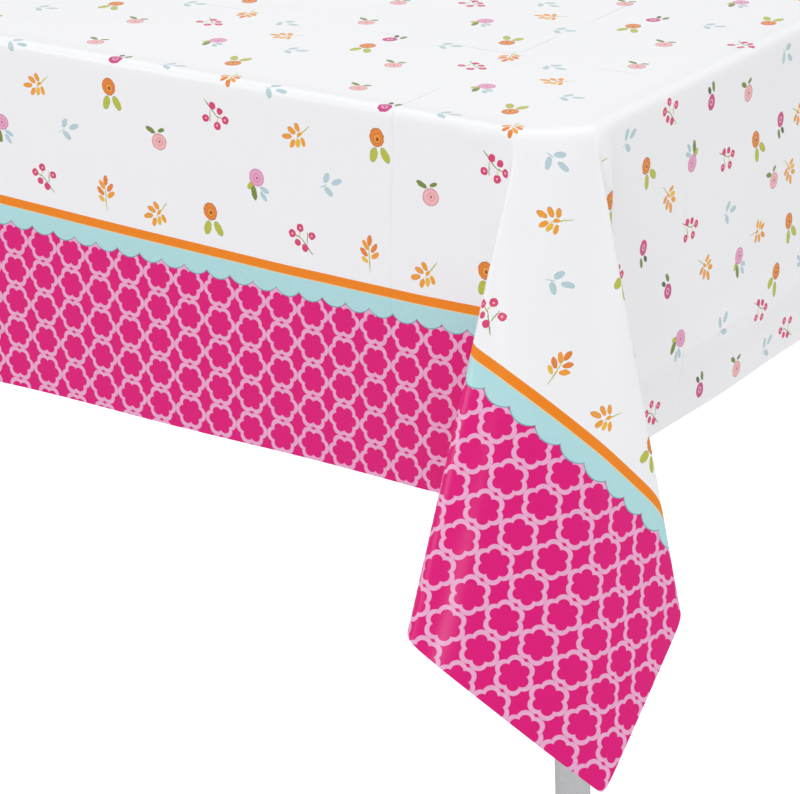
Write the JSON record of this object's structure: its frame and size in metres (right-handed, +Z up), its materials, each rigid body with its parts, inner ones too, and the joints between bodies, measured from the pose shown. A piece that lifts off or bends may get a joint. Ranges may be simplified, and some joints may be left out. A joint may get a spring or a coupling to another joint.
{
  "type": "tablecloth on a table",
  "caption": "Printed plastic film tablecloth draped over a rectangular folding table, with a border along its long hems and a flat flap at each corner.",
  "frame": {"origin": "on the floor under the middle of the tabletop", "axes": "+X along the long side of the table, +Y across it, +Z up"},
  "size_m": [1.792, 1.1104, 0.751],
  "materials": {
    "film": "thin glossy film, white with small printed floral sprigs and a pink, aqua and orange border",
    "laminate": "white laminate with a fine orange-peel grain",
    "edging": "white moulded edging, satin",
    "tube": "light grey powder coat",
    "zinc": "zinc plated sheet",
    "bright": "bright plated steel",
    "knob": "black moulded knob",
    "rubber": "grey rubber, slightly worn"
  },
  "bodies": {
    "table": {"tabletop": "laminate", "tabletop_edging": "edging", "hinge_bracket_front_left": "zinc", "pivot_bolt_front_left": "bright", "pivot_nut_front_left": "bright", "stop_pin_front_left": "bright", "lock_sleeve_front_left": "zinc", "bracket_front_left_screw_1": "bright", "bracket_front_left_screw_2": "bright", "bracket_front_left_screw_3": "bright", "bracket_front_left_screw_4": "bright", "hinge_bracket_back_left": "zinc", "pivot_bolt_back_left": "bright", "pivot_nut_back_left": "bright", "stop_pin_back_left": "bright", "lock_sleeve_back_left": "zinc", "bracket_back_left_screw_1": "bright", "bracket_back_left_screw_2": "bright", "bracket_back_left_screw_3": "bright", "bracket_back_left_screw_4": "bright", "hinge_bracket_front_right": "zinc", "pivot_bolt_front_right": "bright", "pivot_nut_front_right": "bright", "stop_pin_front_right": "bright", "lock_sleeve_front_right": "zinc", "bracket_front_right_screw_1": "bright", "bracket_front_right_screw_2": "bright", "bracket_front_right_screw_3": "bright", "bracket_front_right_screw_4": "bright", "hinge_bracket_back_right": "zinc", "pivot_bolt_back_right": "bright", "pivot_nut_back_right": "bright", "stop_pin_back_right": "bright", "lock_sleeve_back_right": "zinc", "bracket_back_right_screw_1": "bright", "bracket_back_right_screw_2": "bright", "bracket_back_right_screw_3": "bright", "bracket_back_right_screw_4": "bright"},
    "tablecloth": {"tablecloth": "film"},
    "lock_pin_front_left": {"lock_pin_front_left": "bright", "lock_knob_front_left": "knob"},
    "lock_pin_back_left": {"lock_pin_back_left": "bright", "lock_knob_back_left": "knob"},
    "leg_frame_left": {"leg_front_left": "tube", "foot_cap_front_left": "rubber", "leg_back_left": "tube", "foot_cap_back_left": "rubber", "cross_rail_left": "tube"},
    "lock_pin_front_right": {"lock_pin_front_right": "bright", "lock_knob_front_right": "knob"},
    "lock_pin_back_right": {"lock_pin_back_right": "bright", "lock_knob_back_right": "knob"},
    "leg_frame_right": {"leg_front_right": "tube", "foot_cap_front_right": "rubber", "leg_back_right": "tube", "foot_cap_back_right": "rubber", "cross_rail_right": "tube"}
  },
  "joints": [
    {"name": "tablecloth_lift", "type": "slide", "parent": "table", "child": "tablecloth", "axis": [0, 0, 1], "range_m": [0, 0.46]},
    {"name": "leg_frame_left_fold", "type": "hinge", "parent": "table", "child": "leg_frame_left", "pos_m": [-0.725, 0, 0.703], "axis": [0, -1, 0], "range_deg": [0, 92.4]},
    {"name": "leg_frame_right_fold", "type": "hinge", "parent": "table", "child": "leg_frame_right", "pos_m": [0.725, 0, 0.703], "axis": [0, 1, 0], "range_deg": [0, 92.4]},
    {"name": "lock_pin_front_left_pull", "type": "slide", "parent": "table", "child": "lock_pin_front_left", "axis": [0, -1, 0], "range_m": [0, 0.006], "stiffness_N_per_m": 300, "springref_m": -0.005},
    {"name": "lock_pin_back_left_pull", "type": "slide", "parent": "table", "child": "lock_pin_back_left", "axis": [0, 1, 0], "range_m": [0, 0.006], "stiffness_N_per_m": 300, "springref_m": -0.005},
    {"name": "lock_pin_front_right_pull", "type": "slide", "parent": "table", "child": "lock_pin_front_right", "axis": [0, -1, 0], "range_m": [0, 0.006], "stiffness_N_per_m": 300, "springref_m": -0.005},
    {"name": "lock_pin_back_right_pull", "type": "slide", "parent": "table", "child": "lock_pin_back_right", "axis": [0, 1, 0], "range_m": [0, 0.006], "stiffness_N_per_m": 300, "springref_m": -0.005}
  ]
}
